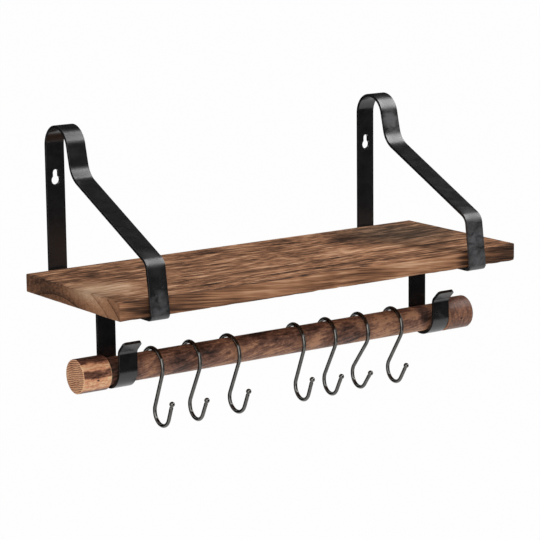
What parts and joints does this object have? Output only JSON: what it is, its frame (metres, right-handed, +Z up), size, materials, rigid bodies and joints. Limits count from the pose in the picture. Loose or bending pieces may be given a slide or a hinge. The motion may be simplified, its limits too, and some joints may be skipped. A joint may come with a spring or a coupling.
{
  "type": "wall shelf",
  "caption": "Scorched wooden wall shelf on bent flat-bar brackets with keyholes, a loose towel rod in open cradles and S-hooks hanging on the rod.",
  "frame": {"origin": "on the wall plane, midway between the round holes of the two keyholes", "axes": "+X along the board to the right as seen from the room, +Y into the wall, +Z up; the shelf stands out from the wall towards -Y"},
  "size_m": [0.4785, 0.1878, 0.2871],
  "materials": {
    "scorched_board": "torched softwood, brushed and lightly oiled",
    "black_powder_coat": "satin black powder coat on steel flat bar",
    "black_screw": "black zinc screws",
    "rod_wood": "stained and scorched round wood",
    "cap_wood": "turned wood with scorch bands",
    "hook_steel": "black plated wire, glossy"
  },
  "bodies": {
    "shelf": {"shelf_board": "scorched_board", "bracket_left": "black_powder_coat", "bracket_right": "black_powder_coat", "board_screws": "black_screw"},
    "rod": {"towel_rod": "rod_wood", "rod_cap_left": "cap_wood", "rod_cap_right": "cap_wood"},
    "hook_1": {"s_hook_1": "hook_steel"},
    "hook_2": {"s_hook_2": "hook_steel"},
    "hook_3": {"s_hook_3": "hook_steel"},
    "hook_4": {"s_hook_4": "hook_steel"},
    "hook_5": {"s_hook_5": "hook_steel"},
    "hook_6": {"s_hook_6": "hook_steel"},
    "hook_7": {"s_hook_7": "hook_steel"}
  },
  "joints": [
    {"name": "rod_spin", "type": "hinge", "parent": "shelf", "child": "rod", "pos_m": [0, -0.10875, -0.1686], "axis": [1, 0, 0], "continuous": true},
    {"name": "hook_1_swing", "type": "hinge", "parent": "shelf", "child": "hook_1", "pos_m": [-0.14931, -0.10875, -0.1705], "axis": [1, 0.007, 0], "range_deg": [-60, 60]},
    {"name": "hook_2_swing", "type": "hinge", "parent": "shelf", "child": "hook_2", "pos_m": [-0.10584, -0.10875, -0.1705], "axis": [0.9993, -0.0366, 0], "range_deg": [-60, 60]},
    {"name": "hook_3_swing", "type": "hinge", "parent": "shelf", "child": "hook_3", "pos_m": [-0.06124, -0.10875, -0.1705], "axis": [0.9989, 0.0471, 0], "range_deg": [-60, 60]},
    {"name": "hook_4_swing", "type": "hinge", "parent": "shelf", "child": "hook_4", "pos_m": [0.01814, -0.10875, -0.1705], "axis": [0.9984, -0.0558, 0], "range_deg": [-60, 60]},
    {"name": "hook_5_swing", "type": "hinge", "parent": "shelf", "child": "hook_5", "pos_m": [0.05746, -0.10875, -0.1705], "axis": [0.9977, -0.068, 0], "range_deg": [-60, 60]},
    {"name": "hook_6_swing", "type": "hinge", "parent": "shelf", "child": "hook_6", "pos_m": [0.09828, -0.10875, -0.1705], "axis": [0.9974, -0.0715, 0], "range_deg": [-60, 60]},
    {"name": "hook_7_swing", "type": "hinge", "parent": "shelf", "child": "hook_7", "pos_m": [0.14099, -0.10875, -0.1705], "axis": [0.9987, -0.0506, 0], "range_deg": [-60, 60]}
  ]
}
